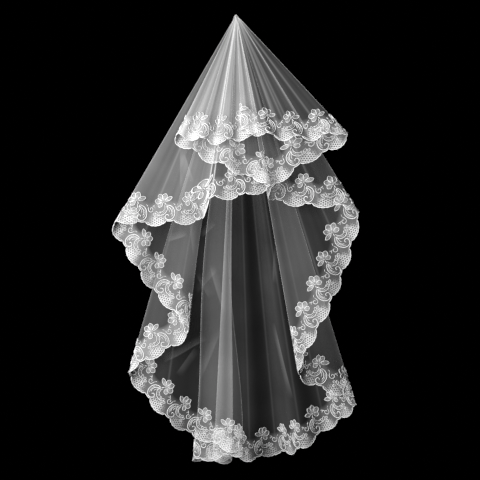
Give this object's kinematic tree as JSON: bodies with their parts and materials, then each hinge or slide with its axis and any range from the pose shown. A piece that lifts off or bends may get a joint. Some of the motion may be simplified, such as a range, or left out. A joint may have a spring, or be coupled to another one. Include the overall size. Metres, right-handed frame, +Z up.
{
  "type": "lace bridal veil",
  "caption": "White net veil with a wide corded floral lace border and scalloped rim, hung from one pinched point so that it falls in folds, short in front and long behind.",
  "frame": {"origin": "the pinched point at the top, from which the whole veil hangs", "axes": "+Z up along the hanging veil; -Y towards the short front edge, +Y towards the long back; +X to the right seen from the front"},
  "size_m": [0.6468, 0.5011, 1.2043],
  "materials": {
    "net": "fine sheer white net, soft and slightly stiff",
    "lace": "matte white embroidery thread and raised cord on net"
  },
  "bodies": {
    "root": {"gathered_top": "net", "net_back": "net", "net_right_low_return": "net", "net_right_side": "net", "net_right_side_return": "net", "net_right_under_front": "net", "net_front_right": "net", "net_front_pleat": "net", "net_front_left": "net", "net_left_under_front": "net", "net_middle_under_front": "net", "net_left_step": "net", "net_left_side": "net", "net_left_side_return": "net", "net_left_low_return": "net", "net_back_left": "net", "net_back_pleat_front": "net", "net_back_pleat_middle": "net", "net_back_pleat_rear": "net", "lace_border": "lace"}
  },
  "joints": []
}
